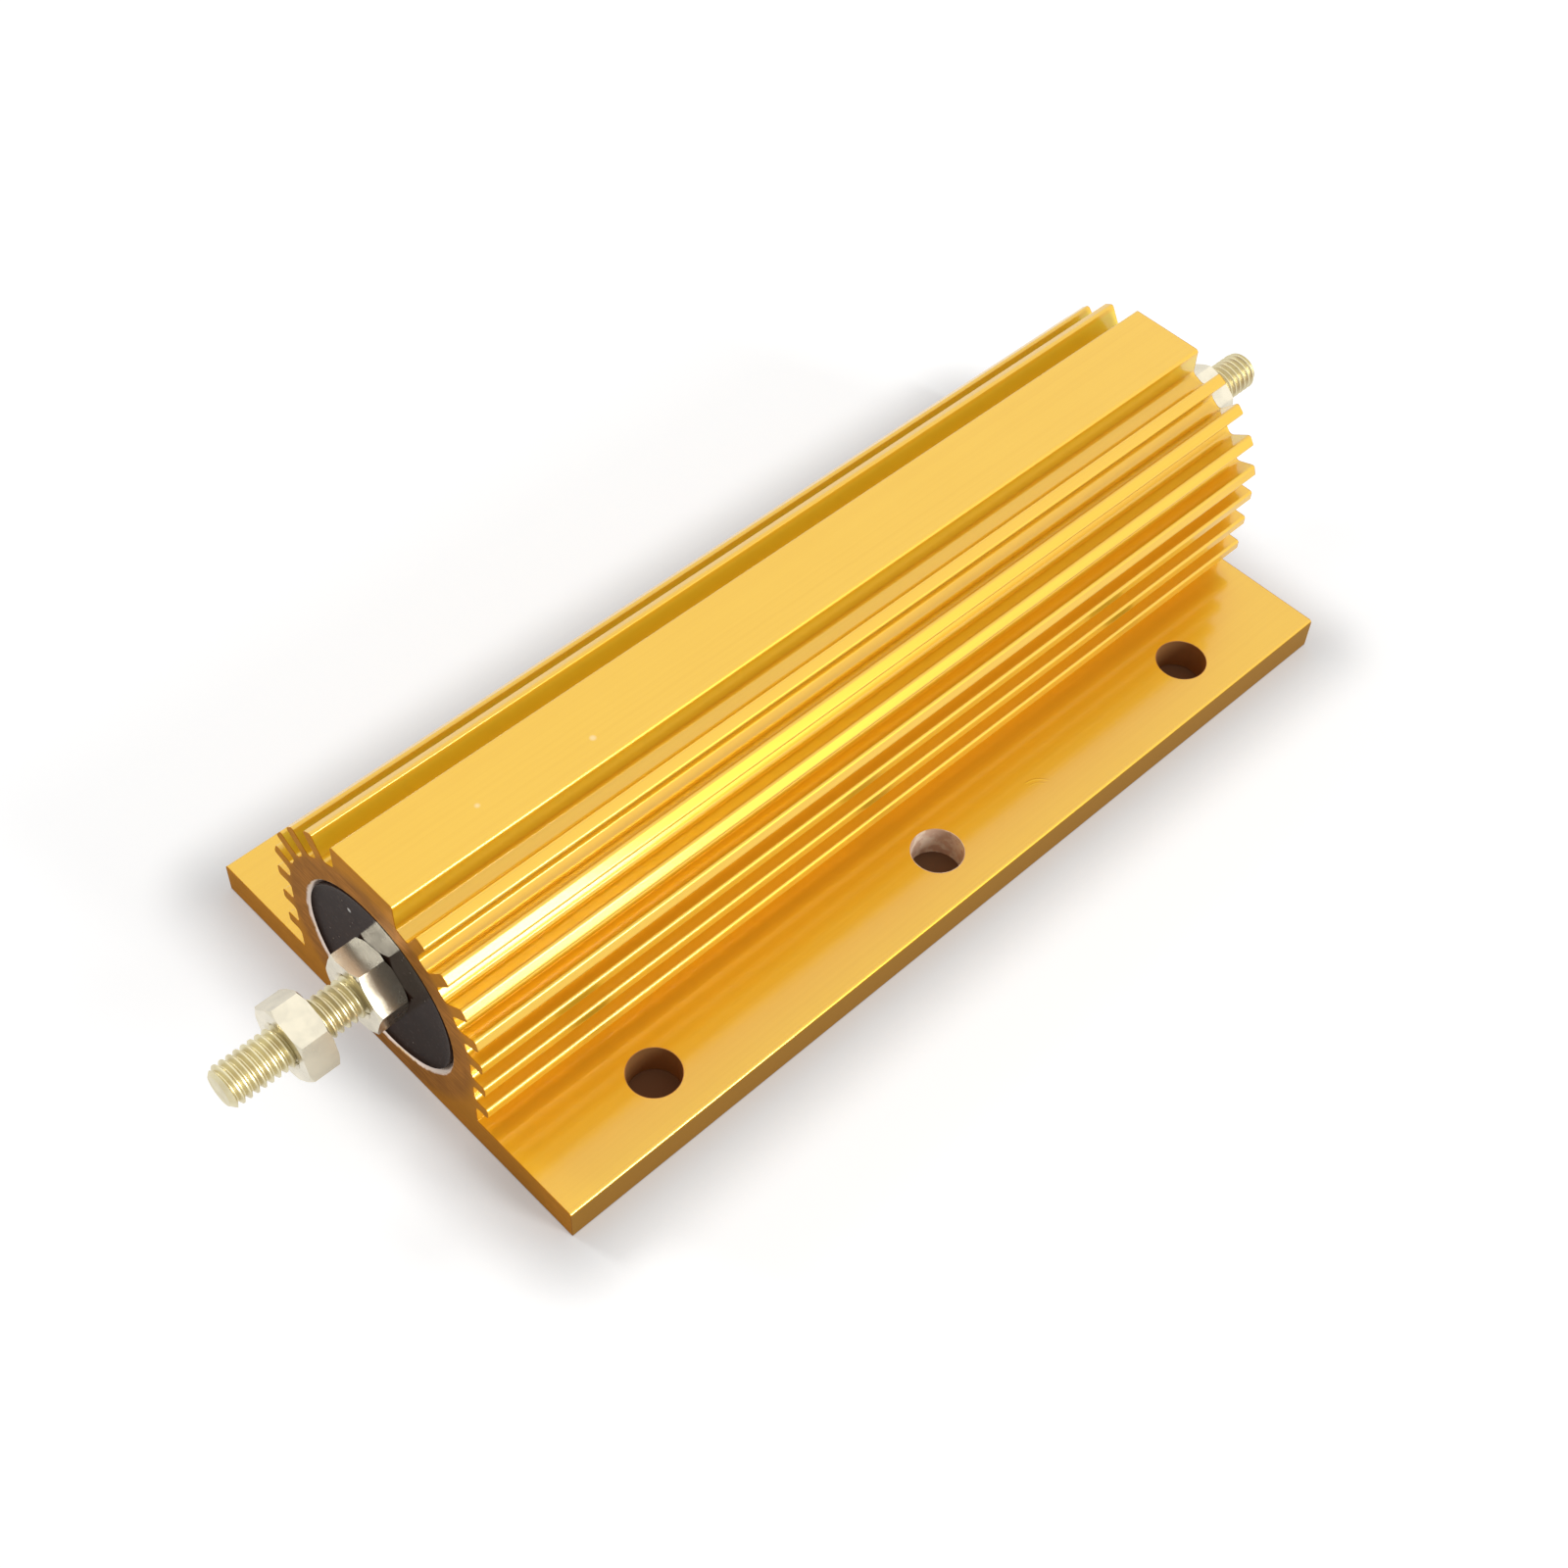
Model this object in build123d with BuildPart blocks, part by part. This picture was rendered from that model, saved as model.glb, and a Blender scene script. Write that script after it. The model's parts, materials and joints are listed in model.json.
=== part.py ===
from build123d import *
import math
import os

# Aluminium housed resistor, millimetres. X runs along the extrusion, Y across the
# base plate, Z up. The origin is at the middle of the mounting face.

os.makedirs("parts", exist_ok=True)

# Housing extrusion: a flat plate, a barrel with the bore in it, and a land along its top
housing_length = 98.0
plate_width = 48.0
plate_thickness = 3.5
plate_edge_radius = 0.35
bore_radius = 9.3
bore_chamfer = 0.5
floor_under_bore = 2.5
barrel_wall = 2.7
land_rise = 2.2
land_width = 8.0
land_edge_radius = 0.35
foot_radius = 1.0

# Fins, the same on both sides, with their heights above the barrel. The upper ones fan out
# from the bore axis, evenly spread from the land down to the lowest angle above level. Those
# below are level, evenly spread from the last of the fan down to the plate. Gaps are taken
# along the barrel from the land's flank, or straight down, to the middle of a fin.
fin_thickness = 1.25
fin_edge_radius = 0.3
fin_root_radius = 0.5
fan_fin_heights = (2.8, 2.8, 2.6, 2.2)
fan_gap_at_land = 2.16
fan_lowest_angle = 20.0
level_fin_count = 3
level_fin_height = 1.65
level_gap_at_fan = 2.5
level_gap_at_plate = 3.0

# Mounting holes, placed from the ends and sides of the plate
hole_diameter = 5.0
hole_end_inset = 14.0
hole_side_inset = 5.5
hole_columns = 3
hole_rows = 2

# Wound element inside the bore
core_radius = 5.5
core_setback = 10.0
ribbon_width = 2.6
ribbon_thickness = 0.4
ribbon_pitch = 8.6
cap_wall = 0.4
cap_depth = 6.0

# Terminals: a stud on each end cap, with its nuts
stud_diameter = 4.0
stud_tip_chamfer = 0.5
stud_head_radius = 4.5
stud_head_thickness = 1.0
stud_reach = 16.0
nut_flats = 7.0
nut_thickness = 3.0
nut_crown_angle = 30.0
nut_crown_depth = 0.42
outer_nut_distance = 7.1
nut_turn = {
    "inner_nut_front": -12.0,
    "inner_nut_rear": 25.0,
    "outer_nut_front": 17.0,
    "outer_nut_rear": 30.0,
}

# Seals and fits
seal_thickness = 4.5
seal_recess = 0.3
cast_gap = 0.02
press_gap = 0.02
thread_gap = 0.05

# How near an edge or a corner must lie to a place to be the one meant there
match = 0.01

# Sizes that follow from those above
half_length = housing_length / 2
axis_height = floor_under_bore + bore_radius
barrel_radius = bore_radius + barrel_wall
overall_height = axis_height + barrel_radius + land_rise
land_root_angle = math.degrees(math.acos(land_width / 2 / barrel_radius))
fan_top_angle = land_root_angle - math.degrees(fan_gap_at_land / barrel_radius)
fan_pitch = (fan_top_angle - fan_lowest_angle) / (len(fan_fin_heights) - 1)
fan_lowest_root = axis_height + barrel_radius * math.sin(math.radians(fan_lowest_angle))
level_fin_top = fan_lowest_root - level_gap_at_fan
level_fin_bottom = plate_thickness + level_gap_at_plate
level_fin_pitch = (level_fin_top - level_fin_bottom) / (level_fin_count - 1)
hole_spacing_x = (housing_length - 2 * hole_end_inset) / (hole_columns - 1)
hole_spacing_y = (plate_width - 2 * hole_side_inset) / (hole_rows - 1)
seal_face = half_length - seal_recess
seal_back = seal_face - seal_thickness
stud_radius = stud_diameter / 2
stud_tip = half_length + stud_reach
cap_radius = core_radius + press_gap + cap_wall
core_end = half_length - core_setback
cap_face = core_end + press_gap + cap_wall
cap_rim = cap_face - cap_depth
head_face = cap_face + stud_head_thickness
ribbon_radius = core_radius + press_gap + ribbon_thickness / 2
winding_length = 2 * (cap_rim - ribbon_width / 2)
cavity_radius = max(ribbon_radius + ribbon_thickness / 2, cap_radius) + cast_gap
bore_axis = Axis((0, 0, axis_height), (1, 0, 0))


def across(x):
    """Plane square to the bore axis at distance x, with its origin on the axis."""
    return Plane(origin=(x, 0, axis_height), x_dir=(0, 1, 0), z_dir=(1, 0, 0))


def along(x):
    """Upright plane through the bore axis, with its origin on the axis at distance x."""
    return Plane(origin=(x, 0, axis_height), x_dir=(1, 0, 0), z_dir=(0, -1, 0))


# Housing: one extruded profile, then the bore edges and the mounting holes
with BuildPart() as housing:
    with BuildSketch(Plane.YZ) as profile:
        with Locations((0, plate_thickness / 2)):
            Rectangle(plate_width, plate_thickness)
        with Locations((0, axis_height / 2)):
            Rectangle(2 * barrel_radius, axis_height)
        with Locations((0, axis_height)):
            Circle(barrel_radius)
        with Locations((0, -barrel_radius / 2)):
            Rectangle(2 * barrel_radius, barrel_radius, mode=Mode.SUBTRACT)
        with Locations((0, (axis_height + overall_height) / 2)):
            Rectangle(land_width, overall_height - axis_height)
        fin_sunk = barrel_wall / 2
        for step, fin_height in enumerate(fan_fin_heights):
            fin_middle = barrel_radius + (fin_height - fin_sunk) / 2
            angle = fan_top_angle - step * fan_pitch
            with Locations((0, axis_height)):
                with PolarLocations(fin_middle, 1, start_angle=angle):
                    RectangleRounded(fin_height + fin_sunk, fin_thickness, fin_edge_radius)
        for step in range(level_fin_count):
            fin_middle = barrel_radius + (level_fin_height - fin_sunk) / 2
            with Locations((fin_middle, level_fin_bottom + step * level_fin_pitch)):
                RectangleRounded(level_fin_height + fin_sunk, fin_thickness, fin_edge_radius)
        mirror(about=Plane.YZ)
        corners = profile.vertices()
        land_top = corners.filter_by_position(Axis.Y, overall_height - match, overall_height + match)
        fillet(land_top, land_edge_radius)
        corners = profile.vertices()
        plate_top = corners.filter_by_position(Axis.Y, plate_thickness - match, plate_thickness + match)
        fillet([v for v in plate_top if abs(v.X) > barrel_radius + foot_radius], plate_edge_radius)
        fillet([v for v in plate_top if abs(v.X) < barrel_radius + foot_radius], foot_radius)
        axis_point = Vector(0, axis_height, 0)
        roots = []
        for corner in profile.vertices():
            from_axis = (Vector(corner.X, corner.Y, 0) - axis_point).length
            on_arc = abs(from_axis - barrel_radius) < match and corner.Y > axis_height + match
            on_side = abs(abs(corner.X) - barrel_radius) < match and corner.Y < axis_height - match
            if on_arc or (on_side and corner.Y > plate_thickness + foot_radius + match):
                roots.append(corner)
        fillet(roots, fin_root_radius)
        with Locations((0, axis_height)):
            Circle(bore_radius, mode=Mode.SUBTRACT)
    extrude(amount=half_length, both=True)
    bore_edges = housing.edges().filter_by(
        lambda edge: edge.geom_type == GeomType.CIRCLE and abs(edge.radius - bore_radius) < match
    )
    chamfer(bore_edges, bore_chamfer)
    with GridLocations(hole_spacing_x, hole_spacing_y, hole_columns, hole_rows):
        Hole(hole_diameter / 2)
housing.part.label = "housing"
export_step(housing.part, "parts/housing.step")

# Ceramic core
with BuildPart() as core:
    with BuildSketch(across(0)):
        Circle(core_radius)
    extrude(amount=core_end, both=True)
core.part.label = "ceramic_core"
export_step(core.part, "parts/ceramic_core.step")

# Resistance winding: one ribbon in spaced turns, its ends against the rims of the caps
with BuildPart() as winding:
    with BuildLine() as ribbon_path:
        Helix(
            pitch=ribbon_pitch,
            height=winding_length,
            radius=ribbon_radius,
            center=(-winding_length / 2, 0, axis_height),
            direction=(1, 0, 0),
        )
    ribbon_start = ribbon_path.line @ 0
    outward = ribbon_start - Vector(-winding_length / 2, 0, axis_height)
    with BuildSketch(Plane(ribbon_start, x_dir=outward, z_dir=ribbon_path.line % 0)):
        Rectangle(ribbon_thickness, ribbon_width)
    sweep(is_frenet=True)
winding.part.label = "resistance_winding"
export_step(winding.part, "parts/resistance_winding.step")


def end_cap(name, side):
    """Cup pressed over one end of the core, open towards the middle."""
    with BuildPart() as cup:
        with BuildSketch(across(side * cap_rim)):
            Circle(cap_radius)
        extrude(amount=side * cap_depth)
        with BuildSketch(across(side * cap_rim)):
            Circle(core_radius + press_gap)
        extrude(amount=side * (cap_depth - cap_wall), mode=Mode.SUBTRACT)
    cup.part.label = name
    export_step(cup.part, f"parts/{name}.step")
    return cup


def terminal_stud(name, side):
    """Stud with its head welded flat on the end cap; the screw thread is left plain."""
    with BuildPart() as stud:
        with BuildSketch(across(side * cap_face)):
            Circle(stud_head_radius)
        extrude(amount=side * stud_head_thickness)
        with BuildSketch(across(side * head_face)):
            Circle(stud_radius)
        extrude(amount=side * (stud_tip - head_face))
        tip = stud.edges().filter_by_position(Axis.X, side * stud_tip - match, side * stud_tip + match)
        chamfer(tip, stud_tip_chamfer)
    stud.part.label = name
    export_step(stud.part, f"parts/{name}.step")
    return stud


def end_seal(name, side):
    """Disc of sealing compound cast round the stud in one end of the bore."""
    with BuildPart() as seal:
        with BuildSketch(across(side * seal_back)):
            Circle(bore_radius - cast_gap)
            Circle(stud_radius + cast_gap, mode=Mode.SUBTRACT)
        extrude(amount=side * seal_thickness)
    seal.part.label = name
    export_step(seal.part, f"parts/{name}.step")
    return seal


def hex_nut(name, side, distance):
    """Hex nut on the stud, from distance outwards, with the corners crowned at both ends."""
    corner_radius = nut_flats / 2 / math.cos(math.radians(30))
    crown_length = nut_crown_depth * math.tan(math.radians(nut_crown_angle))
    middle = side * (distance + nut_thickness / 2)
    with BuildPart() as nut:
        with BuildSketch(across(middle)):
            RegularPolygon(corner_radius, 6, rotation=nut_turn[name])
        extrude(amount=nut_thickness / 2, both=True)
        with BuildSketch(along(middle)) as crown:
            with BuildLine():
                Polyline(
                    (-nut_thickness / 2, 0),
                    (-nut_thickness / 2, corner_radius - nut_crown_depth),
                    (crown_length - nut_thickness / 2, corner_radius),
                    (nut_thickness / 2 - crown_length, corner_radius),
                    (nut_thickness / 2, corner_radius - nut_crown_depth),
                    (nut_thickness / 2, 0),
                    close=True,
                )
            make_face()
        revolve(axis=bore_axis, mode=Mode.INTERSECT)
        with BuildSketch(across(middle)):
            Circle(stud_radius + thread_gap)
        extrude(amount=nut_thickness / 2, both=True, mode=Mode.SUBTRACT)
    nut.part.label = name
    export_step(nut.part, f"parts/{name}.step")
    return nut


# Filler: one casting from seal to seal, round the whole element
with BuildPart() as filler:
    with BuildSketch(along(0)):
        with BuildLine():
            Polyline(
                (0, bore_radius - cast_gap),
                (seal_back, bore_radius - cast_gap),
                (seal_back, stud_radius + cast_gap),
                (head_face + cast_gap, stud_radius + cast_gap),
                (head_face + cast_gap, cavity_radius),
                (0, cavity_radius),
                close=True,
            )
        make_face()
        mirror(about=Plane.YZ)
    revolve(axis=bore_axis)
filler.part.label = "filler"
export_step(filler.part, "parts/filler.step")

# The pieces that repeat at the front, which is towards -X, and at the rear
for end, side in (("front", -1), ("rear", 1)):
    end_cap(f"end_cap_{end}", side)
    terminal_stud(f"terminal_stud_{end}", side)
    end_seal(f"end_seal_{end}", side)
    hex_nut(f"inner_nut_{end}", side, seal_face)
    hex_nut(f"outer_nut_{end}", side, seal_face + outer_nut_distance)
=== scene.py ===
import json
import math

import bpy
from mathutils import Matrix, Vector

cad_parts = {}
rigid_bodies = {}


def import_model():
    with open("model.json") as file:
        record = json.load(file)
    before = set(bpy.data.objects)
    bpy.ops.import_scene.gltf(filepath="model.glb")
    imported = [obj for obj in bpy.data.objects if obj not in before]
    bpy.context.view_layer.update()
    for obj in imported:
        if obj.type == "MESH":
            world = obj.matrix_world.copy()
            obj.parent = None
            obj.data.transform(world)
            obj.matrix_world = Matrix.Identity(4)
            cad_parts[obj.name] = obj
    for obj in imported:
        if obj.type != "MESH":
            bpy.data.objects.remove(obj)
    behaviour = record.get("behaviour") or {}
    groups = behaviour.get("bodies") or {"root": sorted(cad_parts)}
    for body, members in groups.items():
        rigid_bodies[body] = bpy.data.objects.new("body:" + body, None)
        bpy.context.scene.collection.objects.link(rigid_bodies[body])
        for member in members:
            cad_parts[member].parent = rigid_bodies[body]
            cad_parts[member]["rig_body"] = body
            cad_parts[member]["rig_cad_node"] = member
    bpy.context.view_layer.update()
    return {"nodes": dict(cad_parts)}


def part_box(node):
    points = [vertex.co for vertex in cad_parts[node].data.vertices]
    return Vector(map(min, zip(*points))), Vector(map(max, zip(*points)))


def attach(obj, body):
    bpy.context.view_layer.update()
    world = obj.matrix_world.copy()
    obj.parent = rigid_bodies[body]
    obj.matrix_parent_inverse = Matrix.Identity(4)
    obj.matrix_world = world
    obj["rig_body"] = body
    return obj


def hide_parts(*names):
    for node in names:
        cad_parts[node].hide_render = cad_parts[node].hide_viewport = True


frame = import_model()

bpy.ops.object.select_all(action="DESELECT")

# Sizes are millimetres until they meet Blender, which works in metres.
MM = 0.001
FULL_TURN = 2 * math.pi

# Two places this near are the same, and the corners of a drilled rim may stray a little more
SAME_PLACE = 0.001
RIM_PLAY = 0.02
CUT_MERGE = 0.0001
FLAT_ANGLE = 0.5

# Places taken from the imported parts
housing_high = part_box("housing")[1]
seal_low, seal_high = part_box("end_seal_rear")
stud_low, stud_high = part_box("terminal_stud_rear")
nut_low, nut_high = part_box("outer_nut_rear")
HALF_LENGTH = housing_high.x / MM
HALF_WIDTH = housing_high.y / MM
LAND_TOP = housing_high.z / MM
AXIS_HEIGHT = (seal_low.z + seal_high.z) / 2 / MM
SEAL_BACK = seal_low.x / MM
SEAL_FACE = seal_high.x / MM
SEAL_RADIUS = (seal_high.y - seal_low.y) / 2 / MM
STUD_INNER = stud_low.x / MM
STUD_TIP = stud_high.x / MM
STUD_HEAD_RADIUS = (stud_high.y - stud_low.y) / 2 / MM
NUT_HALF_HEIGHT = (nut_high.x - nut_low.x) / 2 / MM

# Sizes repeated from the part's source
PLATE_THICKNESS = 3.5
BORE_RADIUS = 9.3
BARREL_RADIUS = 12.0
HOLE_RADIUS = 2.5
HOLE_PITCH = 35.0
HOLE_COLUMNS = (-HOLE_PITCH, 0.0, HOLE_PITCH)
HOLE_ROW = 18.5
STUD_HEAD_THICKNESS = 1.0
STUD_RADIUS = 2.0
STUD_TIP_CHAMFER = 0.5
NUT_FLATS = 7.0
NUT_CROWN_DEPTH = 0.42
NUT_CROWN_LENGTH = NUT_CROWN_DEPTH * math.tan(math.radians(30))
NUT_BORE = 2.05
NUT_TURN = {
    "inner_nut_front": -12.0,
    "inner_nut_rear": 25.0,
    "outer_nut_front": 17.0,
    "outer_nut_rear": 30.0,
}

# Sizes of the detail that only this script has
SAWN_EDGE = 0.12
THREAD_PITCH = 0.7
THREAD_ROOT_FLAT = 0.08
THREAD_CREST_FLAT = 0.13
THREAD_FLANK = (THREAD_PITCH - THREAD_ROOT_FLAT - THREAD_CREST_FLAT) / 2
THREAD_ROOT_RADIUS = 1.6
THREAD_CREST_RADIUS = STUD_RADIUS - 0.005
THREAD_STEPS = 48
THREAD_SPARE_TURNS = 3
NUT_COUNTERSINK = 0.3
NUT_EDGE = 0.07
NUT_EDGE_ANGLE = 25
SEAL_CREEP = 0.22
SEAL_STUD_PLAY = 0.02

# The rings of the compound's face from the bore inwards: width, and rise, negative where it sinks
SEAL_RINGS = ((0.10, -0.10), (0.22, -0.07), (0.50, -0.05), (1.20, -0.02), (2.9, 0.0))

# How far a cutting tool runs past the face that it leaves by
DRILL_OVERRUN = 0.05
THREAD_OVERRUN = 0.1
TOOL_OVERRUN = 1.0

# Marks that the part carries, by their places on it, and the place of a painted highlight on the
# sealing compound
LAND_SCUFFS = (((-37.76, -0.64, LAND_TOP), 0.20), ((-26.28, -1.53, LAND_TOP), 0.26))
SCRATCH_CENTRE = (11.98, -20.62, PLATE_THICKNESS)
SCRATCH_FACING = (0.535, 0.845, 0.0)
SCRATCH_HALF_ANGLE_COSINE = 0.84
PAINTED_SEAL_HIGHLIGHT = (-48.7, 3.37, 17.69)

# A finish that belongs to one face is this deep, so that it stops at the face's edge
FACE_DEPTH = 0.06

# The heights between which the fins' upper sides get painted light, a paler gold
PAINTED_LIGHT_FLANK_HEIGHTS = (16.5, 19.0)

# The studio, with levels at which 1 is white
FLOOR_SIZE = 4000.0
FLOOR_DROP = 0.05
FLOOR_LIFT = 0.55
FAR_FLOOR_LIFT = 0.30
ROOM_LEVEL = 0.3

# The photograph's view, as fitted to the plate, its holes and the land
SENSOR_WIDTH = 36.0
FOCAL_LENGTH = 52.103
NEAR_CLIP = 0.01
FAR_CLIP = 10.0
CAMERA_PLACE = Matrix((
    (0.72068209, 0.52718179, -0.45021848, -0.10117494),
    (-0.69239982, 0.57979302, -0.42944445, -0.09500630),
    (0.03463824, 0.62122412, 0.78286703, 0.17068100),
    (0.0, 0.0, 0.0, 1.0),
))


# ---- Modelling helpers

def active(piece):
    """Makes one piece the only one that the next operator acts on."""
    bpy.ops.object.select_all(action="DESELECT")
    piece.select_set(True)
    bpy.context.view_layer.objects.active = piece


def named(name):
    """Names the piece just added and settles its place into its mesh."""
    piece = bpy.context.object
    piece.name = piece.data.name = name
    bpy.ops.object.transform_apply(location=True, rotation=True, scale=True)
    return piece


def copied(piece, name):
    """A copy of a piece, with a mesh of its own."""
    active(piece)
    bpy.ops.object.duplicate()
    return named(name)


def open_whole(piece):
    """Opens a piece for editing with all of it selected."""
    active(piece)
    bpy.ops.object.mode_set(mode="EDIT")
    bpy.ops.mesh.select_all(action="SELECT")


def pick(piece, kind, test):
    """Opens a piece with only the faces or edges selected that pass a test."""
    active(piece)
    bpy.ops.object.mode_set(mode="EDIT")
    bpy.ops.mesh.select_mode(type={"polygons": "FACE", "edges": "EDGE"}[kind])
    bpy.ops.mesh.select_all(action="DESELECT")
    bpy.ops.object.mode_set(mode="OBJECT")
    for item in getattr(piece.data, kind):
        item.select = bool(test(item))
    bpy.ops.object.mode_set(mode="EDIT")


def done():
    bpy.ops.object.mode_set(mode="OBJECT")


def rod(name, radius, start, end, sides=96):
    """A cylinder along the bore axis from one distance to another."""
    bpy.ops.mesh.primitive_cylinder_add(
        vertices=sides,
        radius=radius * MM,
        depth=(end - start) * MM,
        location=((start + end) / 2 * MM, 0, AXIS_HEIGHT * MM),
        rotation=(0, math.pi / 2, 0),
    )
    return named(name)


def end_face(piece, x):
    """Selects the flat face of a rod that lies at distance x."""
    pick(
        piece,
        "polygons",
        lambda face: len(face.vertices) > 4 and abs(face.center.x / MM - x) < SAME_PLACE,
    )


def taper_on(piece, x, side, length, radius, new_radius):
    """Extrudes a rod's end face outwards by a length and scales it to a new radius."""
    end_face(piece, x)
    bpy.ops.mesh.extrude_region_move(TRANSFORM_OT_translate={"value": (side * length * MM, 0, 0)})
    share = new_radius / radius
    bpy.ops.transform.resize(
        value=(1, share, share),
        center_override=((x + side * length) * MM, 0, AXIS_HEIGHT * MM),
    )
    done()


def combine(piece, tool, operation):
    """Cuts, joins or intersects a piece with a tool, which is then gone."""
    active(piece)
    bpy.ops.object.modifier_add(type="BOOLEAN")
    step = piece.modifiers[-1]
    step.operation = operation
    step.solver = "EXACT"
    step.object = tool
    bpy.ops.object.modifier_apply(modifier=step.name)
    bpy.data.objects.remove(tool)


def tidy_mesh(piece, dissolve=False):
    """Merges doubles, joins flat neighbours where asked, and turns every face outwards."""
    open_whole(piece)
    bpy.ops.mesh.remove_doubles(threshold=SAME_PLACE * MM)
    if dissolve:
        bpy.ops.mesh.dissolve_limited(angle_limit=math.radians(FLAT_ANGLE))
    bpy.ops.mesh.normals_make_consistent(inside=False)
    done()


def smooth(piece, degrees=30):
    """Smooth shading over shallow edges, with flat faces kept flat."""
    active(piece)
    bpy.ops.object.shade_smooth_by_angle(angle=math.radians(degrees))
    bpy.ops.object.modifier_add(type="WEIGHTED_NORMAL")
    step = piece.modifiers[-1]
    step.keep_sharp = True
    bpy.ops.object.modifier_apply(modifier=step.name)


def face_front(piece):
    """Turns a piece made for the rear end about the upright, to the front end."""
    open_whole(piece)
    bpy.ops.transform.rotate(value=math.pi, orient_axis="Z", center_override=(0, 0, 0))
    done()


def fit(piece, node, material):
    """Sets a finished piece in a node's stead, in its finish."""
    piece.data.materials.clear()
    piece.data.materials.append(material)
    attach(piece, "root")
    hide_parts(node)


def fit_both_ends(piece, node, material):
    """Sets a piece made for the rear end there, and a copy of it at the front end."""
    pieces = {"rear": piece, "front": copied(piece, f"{piece.name}_front")}
    piece.name = piece.data.name = f"{piece.name}_rear"
    face_front(pieces["front"])
    for end, finished in pieces.items():
        smooth(finished, 40)
        fit(finished, f"{node}_{end}", material)


# ---- Shader helpers

class Wire:
    """One shader socket that takes part in sums, so that a formula reads as one."""

    def __init__(self, network, socket):
        self.network = network
        self.socket = socket

    def sum(self, operation, *values):
        return self.network.sum(operation, *values)

    def __add__(self, other):
        return self.sum("ADD", self, other)

    def __radd__(self, other):
        return self.sum("ADD", other, self)

    def __sub__(self, other):
        return self.sum("SUBTRACT", self, other)

    def __rsub__(self, other):
        return self.sum("SUBTRACT", other, self)

    def __mul__(self, other):
        return self.sum("MULTIPLY", self, other)

    def __rmul__(self, other):
        return self.sum("MULTIPLY", other, self)

    def __pow__(self, other):
        return self.sum("POWER", self, other)

    def __abs__(self):
        return self.sum("ABSOLUTE", self)

    def above(self, level, softness):
        """0 below a level and 1 above it, with a soft step."""
        return self.ramp(level - softness / 2, level + softness / 2)

    def below(self, level, softness):
        return 1 - self.above(level, softness)

    def ramp(self, start, end, low=0.0, high=1.0):
        """Maps start and end to low and high, evenly between and held beyond."""
        return self.network.put(
            "ShaderNodeMapRange",
            {"interpolation_type": "SMOOTHSTEP"},
            {0: self, 1: start, 2: end, 3: low, 4: high},
        )


class Network:
    """The nodes of a material or of the world."""

    def __init__(self, tree):
        self.nodes = tree.nodes
        self.links = tree.links

    def put(self, kind, settings=None, inputs=None, output=0):
        """Adds a node, makes its settings, then sets or links its sockets."""
        node = self.nodes.new(kind)
        for name, value in (settings or {}).items():
            setattr(node, name, value)
        for name, value in (inputs or {}).items():
            self.join(value, node.inputs[name])
        return Wire(self, node.outputs[output])

    def join(self, value, socket):
        if isinstance(value, Wire):
            self.links.new(value.socket, socket)
        else:
            socket.default_value = value

    def sum(self, operation, *values):
        return self.put("ShaderNodeMath", {"operation": operation}, dict(enumerate(values)))

    def looked_at(self):
        """1 for rays from the camera and for those that metal or glass sends on."""
        camera, glossy, passed = (
            self.put("ShaderNodeLightPath", output=f"Is {kind} Ray")
            for kind in ("Camera", "Glossy", "Transmission")
        )
        return self.sum("MAXIMUM", self.sum("MAXIMUM", camera, glossy), passed)


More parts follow.
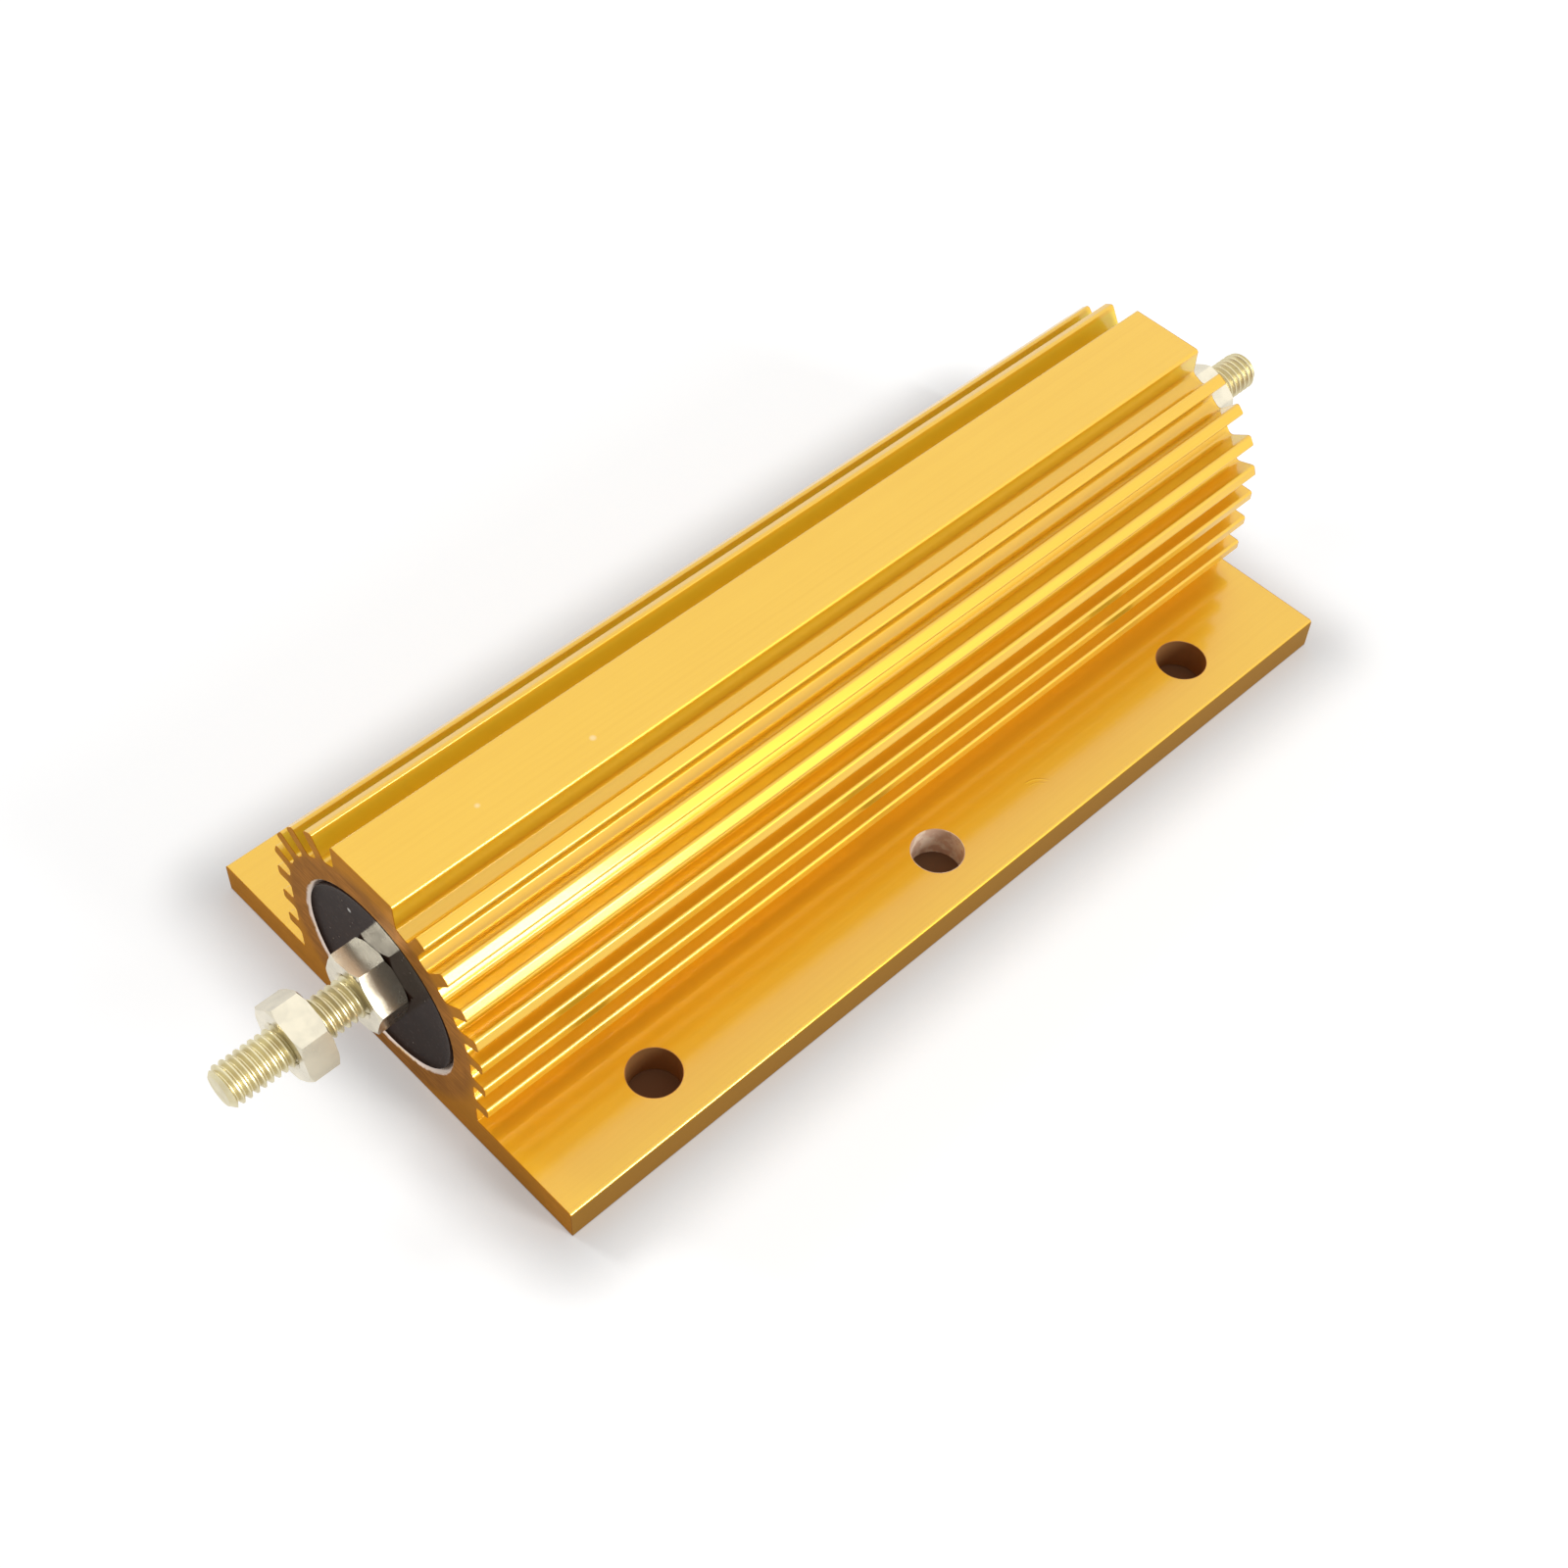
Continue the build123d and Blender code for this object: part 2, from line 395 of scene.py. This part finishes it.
class Finish(Network):
    """A material: a Principled shader and the nodes that vary it."""

    def __init__(self, name, **constants):
        self.material = bpy.data.materials.new(name)
        self.material.use_nodes = True
        super().__init__(self.material.node_tree)
        self.shader = self.nodes["Principled BSDF"]
        for socket, value in constants.items():
            title = socket.replace("_", " ").title().replace("Ior", "IOR")
            self.shader.inputs[title].default_value = value

    def vary(self, socket, value):
        self.join(value, self.shader.inputs[socket])

    def place(self):
        """The place on the piece in millimetres, in the part's own frame."""
        metres = self.put("ShaderNodeTexCoord", output="Object")
        scale = {0: metres, "Scale": 1 / MM}
        return self.put("ShaderNodeVectorMath", {"operation": "SCALE"}, scale)

    def axes(self, place):
        return [self.put("ShaderNodeSeparateXYZ", None, {0: place}, output=n) for n in range(3)]

    def vector(self, operation, first, second, output=0):
        settings = {"operation": operation}
        return self.put("ShaderNodeVectorMath", settings, {0: first, 1: second}, output)

    def stretch(self, place, factors):
        return self.vector("MULTIPLY", place, factors)

    def noise(self, place, scale, detail=2.0, roughness=0.5):
        return self.put(
            "ShaderNodeTexNoise",
            None,
            {"Vector": place, "Scale": scale, "Detail": detail, "Roughness": roughness},
        )

    def specks(self, place, spacing, size, share):
        """1 on sparse round specks: this share of the cells of a spacing holds one."""
        settings = {"feature": "F1"}
        inputs = {"Vector": place, "Scale": 1 / spacing, "Randomness": 1.0}
        distance = self.put("ShaderNodeTexVoronoi", settings, inputs)
        draw = self.put("ShaderNodeTexVoronoi", settings, inputs, output="Color")
        red = self.put("ShaderNodeSeparateColor", None, {0: draw})
        return distance.below(size / spacing, 0.4 * size / spacing) * red.above(1 - share, 0.001)

    def apart(self, place, spot):
        """How far the surface lies from a spot, in millimetres."""
        return self.vector("DISTANCE", place, spot, output=1)

    def arc(self, place, radius, width):
        """1 on a short curved scratch round its centre, on the side that it faces."""
        offset = self.vector("SUBTRACT", place, SCRATCH_CENTRE)
        facing = self.vector("DOT_PRODUCT", offset, SCRATCH_FACING, output=1)
        line = abs(self.apart(place, SCRATCH_CENTRE) - radius).below(width / 2, width / 2)
        return line * facing.above(SCRATCH_HALF_ANGLE_COSINE * radius, 0.1)

    def blend(self, factor, first, second):
        settings = {"data_type": "RGBA"}
        inputs = {0: factor, 6: first, 7: second}
        return self.put("ShaderNodeMix", settings, inputs, output=2)

    def bump(self, height, depth, below=None):
        """Raises the surface by a height from 0 to 1 times a depth in millimetres."""
        inputs = {"Height": height, "Distance": depth * MM, "Strength": 1.0}
        if below is not None:
            inputs["Normal"] = below
        return self.put("ShaderNodeBump", None, inputs)


def colour(red, green, blue):
    return (red, green, blue, 1.0)


# ---- Finishes

WHITE = colour(1.0, 1.0, 1.0)
BARE_METAL = colour(0.88, 0.72, 0.62)
FLOOR_GREY = colour(0.66, 0.66, 0.66)
# Painted shade: the floor under the part, seen through its holes, is dark brown.
PAINTED_SHADE_UNDER_PART = colour(0.20, 0.11, 0.06)


def gold_anodise():
    """Satin gold anodise with draw lines, brown where sawn or drilled, bare at the bore's ring,
    with painted light on the fins' upper sides and in the middle hole and painted shade on the
    plate's long sides.
    """
    finish = Finish(
        "gold_anodise",
        specular_tint=colour(1.0, 0.94, 0.80),
        specular_ior_level=0.0,
        coat_roughness=0.13,
        coat_ior=1.65,
    )
    place = finish.place()
    x, y, z = finish.axes(place)
    clouds = finish.noise(place, 0.09, 3.0)
    grain = finish.noise(place, 4.5, 3.0, 0.6)
    draw_lines = finish.noise(finish.stretch(place, (0.012, 2.6, 2.6)), 1.0, 4.0, 0.65)
    gold = finish.blend(clouds, colour(0.825, 0.49, 0.027), colour(0.86, 0.53, 0.037))
    gold = finish.blend(draw_lines.ramp(0.35, 0.75) * 0.35, gold, colour(0.785, 0.446, 0.0215))

    rise = z - AXIS_HEIGHT
    reach = (y * y + rise * rise) ** 0.5
    saw_marks = finish.noise(finish.stretch(place, (1.0, 0.35, 5.0)), 1.0, 3.0, 0.6)
    sawn = abs(x).above(HALF_LENGTH - FACE_DEPTH, 0.04)
    brown = saw_marks.ramp(0.3, 0.7)
    brown = finish.blend(brown, colour(0.29, 0.108, 0.014), colour(0.49, 0.195, 0.030))
    stains = finish.noise(place, 0.5, 3.0).ramp(0.42, 0.62)
    brown = finish.blend(stains * 0.4, brown, colour(0.24, 0.09, 0.012))
    outer_rim = reach.ramp(BARREL_RADIUS - 0.6, BARREL_RADIUS + 1.0)
    brown = finish.blend(outer_rim * 0.6, brown, colour(0.61, 0.25, 0.008))

    # Painted light: the upper sides of the upper fins and of the land are painted a paler gold than
    # the rest.
    painted_light_flanks = reach.ramp(BARREL_RADIUS + 0.1, BARREL_RADIUS + 0.7)
    painted_light_flanks = painted_light_flanks * reach.below(BARREL_RADIUS + 2.25, 0.4)
    painted_light_flanks = painted_light_flanks * z.ramp(*PAINTED_LIGHT_FLANK_HEIGHTS) * z.below(LAND_TOP - 0.4, 0.2)
    gold = finish.blend(painted_light_flanks * 0.8, gold, colour(0.80, 0.60, 0.052))
    skin = finish.blend(sawn, gold, brown)
    # Painted shade: the plate's long sides are darkened to a dull brown and lose their coat.
    painted_shade_plate_side = abs(y).above(HALF_WIDTH - FACE_DEPTH, 0.06)
    skin = finish.blend(painted_shade_plate_side * 0.85, skin, colour(0.30, 0.13, 0.026))

    along = finish.sum("WRAP", x, HOLE_PITCH / 2, -HOLE_PITCH / 2)
    across = abs(y) - HOLE_ROW
    from_hole = (along * along + across * across) ** 0.5
    drilled = from_hole.below(HOLE_RADIUS + FACE_DEPTH, 0.04)
    skin = finish.blend(drilled, skin, colour(0.54, 0.27, 0.10))
    # Painted light: the wall of the middle hole on the -Y side is a paler, mottled tan and not
    # metallic.
    middle_hole = drilled * abs(x).below(HOLE_PITCH / 2, 0.1) * y.below(0.0, 0.1)
    wall_mottle = finish.noise(place, 0.9, 3.0).ramp(0.4, 0.6)
    painted_light_wall = finish.blend(wall_mottle, colour(0.96, 0.80, 0.64), colour(0.74, 0.52, 0.38))
    skin = finish.blend(middle_hole, skin, painted_light_wall)

    ragged = finish.noise(place, 0.25, 4.0, 0.7) * 0.9
    near_end = abs(x).above(HALF_LENGTH - 1.2, 0.1)
    ring = (reach + ragged).below(BORE_RADIUS + 0.92, 0.2) * near_end
    skin = finish.blend(ring, skin, BARE_METAL)

    pale = finish.specks(place, 7.0, 0.16, 0.10)
    for spot, size in LAND_SCUFFS:
        pale = pale + finish.apart(place, spot).below(size, 0.30)
    skin = finish.blend(pale * 0.4, skin, colour(0.95, 0.84, 0.60))
    curl = finish.arc(place, 1.99, 0.16) + 0.6 * finish.arc(place, 1.55, 0.10)
    finish.vary("Base Color", skin)
    finish.vary("Metallic", 0.6 - 0.6 * middle_hole)
    finish.vary("Roughness", 0.32 + 0.06 * draw_lines + 0.04 * grain + 0.15 * sawn)
    finish.vary("Coat Weight", (1 - sawn) * (1 - painted_shade_plate_side) * (1 - drilled))
    relief = finish.bump(draw_lines, 0.0012)
    relief = finish.bump(curl, 0.03, relief)
    relief = finish.bump(saw_marks * sawn, 0.02, relief)
    finish.vary("Normal", relief)
    return finish.material


def zinc_plate(name, pale, deep, metallic, roughness, grain_depth):
    """Zinc plate with a thin yellow passivation, thicker in clouds."""
    finish = Finish(name, metallic=metallic)
    place = finish.place()
    clouds = finish.noise(place, 0.6, 3.0)
    grain = finish.noise(place, 9.0, 2.0, 0.6)
    finish.vary("Base Color", finish.blend(clouds.ramp(0.35, 0.7), pale, deep))
    finish.vary("Roughness", roughness + 0.12 * clouds + 0.06 * grain)
    finish.vary("Normal", finish.bump(grain, grain_depth))
    return finish.material


def sealing_compound():
    """Dark glossy casting compound with pale flecks, a little dust and a painted highlight."""
    finish = Finish("sealing_compound", ior=1.3, specular_ior_level=0.03)
    place = finish.place()
    clouds = finish.noise(place, 0.35, 3.0)
    dust = finish.specks(place, 1.1, 0.08, 0.30)
    flecks = finish.noise(place, 2.6, 3.0, 0.6).ramp(0.55, 0.72)
    # Painted highlight: a small pale spot on the front end's compound.
    painted_highlight = finish.apart(place, PAINTED_SEAL_HIGHLIGHT).below(0.22, 0.12)
    body = finish.blend(clouds, colour(0.028, 0.013, 0.009), colour(0.044, 0.021, 0.014))
    body = finish.blend(flecks * 0.5, body, colour(0.085, 0.055, 0.042))
    body = finish.blend(dust * 0.5, body, colour(0.45, 0.38, 0.32))
    finish.vary("Base Color", finish.blend(painted_highlight, body, colour(0.80, 0.78, 0.74)))
    finish.vary("Roughness", 0.10 + 0.10 * clouds + 0.4 * dust)
    finish.vary("Normal", finish.bump(clouds, 0.03))
    return finish.material


def satin_steel():
    finish = Finish("satin_steel", metallic=1.0)
    place = finish.place()
    rings = finish.noise(finish.stretch(place, (9.0, 0.3, 0.3)), 1.0, 3.0)
    steel = finish.blend(rings, colour(0.50, 0.50, 0.48), colour(0.64, 0.63, 0.61))
    finish.vary("Base Color", steel)
    finish.vary("Roughness", 0.28 + 0.14 * rings)
    finish.vary("Normal", finish.bump(rings, 0.004))
    return finish.material


def resistance_alloy():
    finish = Finish("resistance_alloy", metallic=1.0)
    place = finish.place()
    tarnish = finish.noise(place, 0.5, 4.0)
    alloy = finish.blend(tarnish, colour(0.33, 0.27, 0.21), colour(0.50, 0.46, 0.41))
    finish.vary("Base Color", alloy)
    finish.vary("Roughness", 0.32 + 0.2 * tarnish)
    finish.vary("Normal", finish.bump(tarnish, 0.01))
    return finish.material


def unglazed_ceramic():
    finish = Finish("unglazed_ceramic")
    place = finish.place()
    grain = finish.noise(place, 3.0, 4.0, 0.7)
    ceramic = finish.blend(grain, colour(0.72, 0.69, 0.62), colour(0.84, 0.82, 0.77))
    finish.vary("Base Color", ceramic)
    finish.vary("Roughness", 0.72 + 0.15 * grain)
    finish.vary("Normal", finish.bump(grain, 0.02))
    return finish.material


def cast_filler():
    finish = Finish("cast_filler")
    place = finish.place()
    sand = finish.noise(place, 2.2, 5.0, 0.75)
    pits = finish.specks(place, 1.1, 0.2, 0.3)
    body = finish.blend(sand, colour(0.42, 0.40, 0.36), colour(0.58, 0.56, 0.52))
    finish.vary("Base Color", finish.blend(pits, body, colour(0.25, 0.23, 0.20)))
    finish.vary("Roughness", 0.8 + 0.1 * sand)
    finish.vary("Normal", finish.bump(sand - 0.5 * pits, 0.06))
    return finish.material


def pale_floor():
    """Matt pale floor, lifted to white where it is looked at, with painted shade: dark under the
    part, and the lift cut back near it as a painted shadow.
    """
    finish = Finish("pale_floor", roughness=0.9, specular_ior_level=0.0, emission_strength=1.0)
    x, y, _ = finish.axes(finish.place())
    past_end = abs(x) - HALF_LENGTH
    past_side = abs(y) - HALF_WIDTH
    end_gap = finish.sum("MAXIMUM", past_end, 0.0)
    side_gap = finish.sum("MAXIMUM", past_side, 0.0)
    gap = (end_gap * end_gap + side_gap * side_gap) ** 0.5
    uncovered = finish.sum("MAXIMUM", past_end, past_side).ramp(-0.2, 0.1)
    finish.vary("Base Color", finish.blend(uncovered, PAINTED_SHADE_UNDER_PART, FLOOR_GREY))
    # Painted shadow: within 9 mm of the part the lift drops to 0.4 of its full strength.
    lift_with_painted_shadow = FLOOR_LIFT * gap.ramp(0.0, 9.0, 0.4, 1.0)
    far_lift = FAR_FLOOR_LIFT * gap.ramp(150.0, 700.0)
    finish.vary("Emission Color", (lift_with_painted_shadow + far_lift) * uncovered * finish.looked_at())
    return finish.material


# ---- Pieces

def sawn_housing():
    """The housing with its sawn ends and drilled holes broken by a fine edge."""
    piece = copied(frame["nodes"]["housing"], "finned_housing")
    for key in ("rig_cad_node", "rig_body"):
        del piece[key]
    bpy.ops.object.parent_clear(type="CLEAR_KEEP_TRANSFORM")
    if piece.data.has_custom_normals:
        bpy.ops.mesh.customdata_custom_splitnormals_clear()
    tidy_mesh(piece, dissolve=True)
    corners = piece.data.vertices

    def ends(edge):
        return [corners[n].co / MM for n in edge.vertices]

    def at_sawn_end(edge):
        return all(abs(abs(end.x) - HALF_LENGTH) < SAME_PLACE for end in ends(edge))

    def off_rim(end):
        column = min(HOLE_COLUMNS, key=lambda x: abs(x - end.x))
        return abs(math.hypot(end.x - column, abs(end.y) - HOLE_ROW) - HOLE_RADIUS)

    def at_hole_rim(edge):
        first, second = ends(edge)
        level = abs(first.z - second.z) < SAME_PLACE
        on_face = min(abs(first.z), abs(first.z - PLATE_THICKNESS)) < SAME_PLACE
        return level and on_face and max(off_rim(first), off_rim(second)) < RIM_PLAY

    def under_plate_side(edge):
        return all(
            max(abs(end.z), abs(abs(end.y) - HALF_WIDTH)) < SAME_PLACE for end in ends(edge)
        )

    def sharp(edge):
        return at_sawn_end(edge) or at_hole_rim(edge) or under_plate_side(edge)

    pick(piece, "edges", sharp)
    bpy.ops.mesh.bevel(offset=SAWN_EDGE * MM, segments=2, affect="EDGES", clamp_overlap=True)
    done()
    tidy_mesh(piece)
    smooth(piece)
    fit(piece, "housing", gold_anodise())


def threaded_stud():
    """A stud with its screw thread, cut back to a chamfer at the tip, and its welded head."""
    thread_start = STUD_INNER + STUD_HEAD_THICKNESS / 2
    chamfer_start = STUD_TIP - STUD_TIP_CHAMFER
    turns = math.ceil((STUD_TIP - thread_start) / THREAD_PITCH) + THREAD_SPARE_TURNS
    thread_depth = THREAD_CREST_RADIUS - THREAD_ROOT_RADIUS
    steps = (
        (THREAD_ROOT_FLAT, 0.0),
        (THREAD_FLANK, thread_depth),
        (THREAD_CREST_FLAT, 0.0),
        (THREAD_FLANK, -thread_depth),
    )
    bpy.ops.mesh.primitive_plane_add(size=MM)
    piece = named("threaded_stud")
    open_whole(piece)
    bpy.ops.mesh.select_mode(type="VERT")
    bpy.ops.mesh.select_all(action="SELECT")
    bpy.ops.mesh.merge(type="CENTER")
    bpy.ops.transform.translate(value=(0, 0, THREAD_ROOT_RADIUS * MM))
    for along, out in steps:
        step = (along * MM, 0, out * MM)
        bpy.ops.mesh.extrude_region_move(TRANSFORM_OT_translate={"value": step})
    done()
    bpy.ops.object.modifier_add(type="SCREW")
    helix = piece.modifiers[-1]
    helix.axis = "X"
    helix.angle = FULL_TURN
    helix.screw_offset = THREAD_PITCH * MM
    helix.iterations = turns
    helix.steps = helix.render_steps = THREAD_STEPS
    helix.use_merge_vertices = True
    helix.merge_threshold = CUT_MERGE * MM
    bpy.ops.object.modifier_apply(modifier=helix.name)
    open_whole(piece)
    bpy.ops.transform.translate(value=((thread_start - THREAD_PITCH) * MM, 0, AXIS_HEIGHT * MM))
    done()
    tidy_mesh(piece)
    for cut, outward in ((thread_start, -1), (STUD_TIP + THREAD_OVERRUN, 1)):
        open_whole(piece)
        bpy.ops.mesh.bisect(
            plane_co=(cut * MM, 0, AXIS_HEIGHT * MM),
            plane_no=(outward, 0, 0),
            use_fill=True,
            clear_outer=True,
            threshold=CUT_MERGE * MM,
        )
        done()
    tidy_mesh(piece)
    blank = rod("stud_blank", STUD_RADIUS, thread_start - TOOL_OVERRUN, chamfer_start)
    tip_radius = STUD_RADIUS - STUD_TIP_CHAMFER
    taper_on(blank, chamfer_start, 1, STUD_TIP_CHAMFER, STUD_RADIUS, tip_radius)
    combine(piece, blank, "INTERSECT")
    tidy_mesh(piece)
    head = rod("stud_head", STUD_HEAD_RADIUS, STUD_INNER, STUD_INNER + STUD_HEAD_THICKNESS)
    combine(piece, head, "UNION")
    tidy_mesh(piece)
    return piece


def sealed_end():
    """The sealing compound, drawn up a little where it wets the bore and the stud."""
    rim = SEAL_FACE + SEAL_CREEP
    piece = rod("sealing_compound", SEAL_RADIUS, SEAL_BACK, rim, sides=128)
    end_face(piece, rim)
    for width, rise in SEAL_RINGS:
        bpy.ops.mesh.inset(thickness=width * MM, depth=rise * MM)
    done()
    hole_ends = (SEAL_BACK - TOOL_OVERRUN, SEAL_FACE + TOOL_OVERRUN)
    tube = rod("stud_hole", STUD_RADIUS + SEAL_STUD_PLAY, *hole_ends, sides=64)
    combine(piece, tube, "DIFFERENCE")
    tidy_mesh(piece)
    return piece


def crowned_nut():
    """A hex nut with crowned corners and a countersunk bore, made at the middle of the part."""
    corner = NUT_FLATS / 2 / math.cos(math.radians(30))
    crown_start = NUT_HALF_HEIGHT - NUT_CROWN_LENGTH
    sink_start = NUT_HALF_HEIGHT - NUT_COUNTERSINK
    sink_length = NUT_COUNTERSINK + DRILL_OVERRUN
    piece = rod("crowned_nut", corner, -NUT_HALF_HEIGHT, NUT_HALF_HEIGHT, sides=6)
    crown = rod("crown", corner, -crown_start, crown_start, sides=120)
    drill = rod("drill", NUT_BORE, -sink_start, sink_start, sides=64)
    crown_end = corner - NUT_CROWN_DEPTH
    for side in (-1, 1):
        taper_on(crown, side * crown_start, side, NUT_CROWN_LENGTH, corner, crown_end)
        taper_on(drill, side * sink_start, side, sink_length, NUT_BORE, NUT_BORE + sink_length)
    combine(piece, crown, "INTERSECT")
    combine(piece, drill, "DIFFERENCE")
    tidy_mesh(piece, dissolve=True)
    active(piece)
    bpy.ops.object.modifier_add(type="BEVEL")
    edge = piece.modifiers[-1]
    edge.width = NUT_EDGE * MM
    edge.segments = 2
    edge.limit_method = "ANGLE"
    edge.angle_limit = math.radians(NUT_EDGE_ANGLE)
    bpy.ops.object.modifier_apply(modifier=edge.name)
    tidy_mesh(piece)
    return piece


def fit_nut(piece, node, material):
    """Turns a nut about the bore axis as the photo shows it, and runs it along to its place."""
    low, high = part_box(node)
    open_whole(piece)
    bpy.ops.transform.rotate(
        value=math.radians(-NUT_TURN[node]),
        orient_axis="X",
        center_override=(0, 0, AXIS_HEIGHT * MM),
    )
    bpy.ops.transform.translate(value=((low.x + high.x) / 2, 0, 0))
    done()
    smooth(piece)
    fit(piece, node, material)


sawn_housing()

stud_zinc = zinc_plate(
    "stud_zinc",
    pale=colour(0.75, 0.68, 0.44),
    deep=colour(0.66, 0.58, 0.36),
    metallic=0.8,
    roughness=0.26,
    grain_depth=0.004,
)
fit_both_ends(threaded_stud(), "terminal_stud", stud_zinc)
fit_both_ends(sealed_end(), "end_seal", sealing_compound())

nut_zinc = zinc_plate(
    "nut_zinc",
    pale=colour(0.76, 0.70, 0.55),
    deep=colour(0.67, 0.62, 0.49),
    metallic=1.0,
    roughness=0.16,
    grain_depth=0.002,
)
nut = crowned_nut()
for node in NUT_TURN:
    fit_nut(copied(nut, f"crowned_{node}"), node, nut_zinc)
bpy.data.objects.remove(nut)

cap_steel = satin_steel()
inner_finishes = {
    "ceramic_core": unglazed_ceramic(),
    "resistance_winding": resistance_alloy(),
    "filler": cast_filler(),
    "end_cap_front": cap_steel,
    "end_cap_rear": cap_steel,
}
for node, material in inner_finishes.items():
    mesh = frame["nodes"][node].data
    mesh.materials.clear()
    mesh.materials.append(material)


# ---- Stage, light and camera

bpy.ops.mesh.primitive_plane_add(size=FLOOR_SIZE * MM, location=(0, 0, -FLOOR_DROP * MM))
floor = named("floor")
floor.data.materials.append(pale_floor())

world = bpy.data.worlds.new("room")
bpy.context.scene.world = world
world.use_nodes = True
room = Network(world.node_tree)
room_light = room.nodes["Background"].inputs
room.join(WHITE, room_light["Color"])
room.join(ROOM_LEVEL + (1 - ROOM_LEVEL) * room.looked_at(), room_light["Strength"])


def softbox(name, direction, distance, size, level):
    """An area lamp that faces the part from a direction, as bright to look at as its level."""
    width, height = size
    data = bpy.data.lights.new(name, "AREA")
    data.shape = "RECTANGLE"
    data.size, data.size_y = size
    data.energy = level * math.pi * width * height
    lamp = bpy.data.objects.new(name, data)
    bpy.context.scene.collection.objects.link(lamp)
    away = Vector(direction).normalized()
    lamp.location = away * distance + Vector((0, 0, AXIS_HEIGHT * MM))
    lamp.rotation_mode = "QUATERNION"
    lamp.rotation_quaternion = away.to_track_quat("Z", "Y")
    lamp.visible_camera = False


softbox("ceiling", direction=(0.30, 0.10, 0.95), distance=0.6, size=(1.7, 1.5), level=0.30)
softbox("right_window", direction=(0.24, -0.905, 0.35), distance=0.9, size=(0.22, 0.46), level=13.5)
softbox("left_window", direction=(-0.28, 0.79, 0.54), distance=0.9, size=(0.18, 0.18), level=20.0)

camera_data = bpy.data.cameras.new("camera")
camera_data.sensor_width = SENSOR_WIDTH
camera_data.lens = FOCAL_LENGTH
camera_data.clip_start = NEAR_CLIP
camera_data.clip_end = FAR_CLIP
camera = bpy.data.objects.new("camera", camera_data)
bpy.context.scene.collection.objects.link(camera)
camera.matrix_world = CAMERA_PLACE
bpy.context.scene.camera = camera
bpy.context.scene.view_settings.view_transform = "Standard"
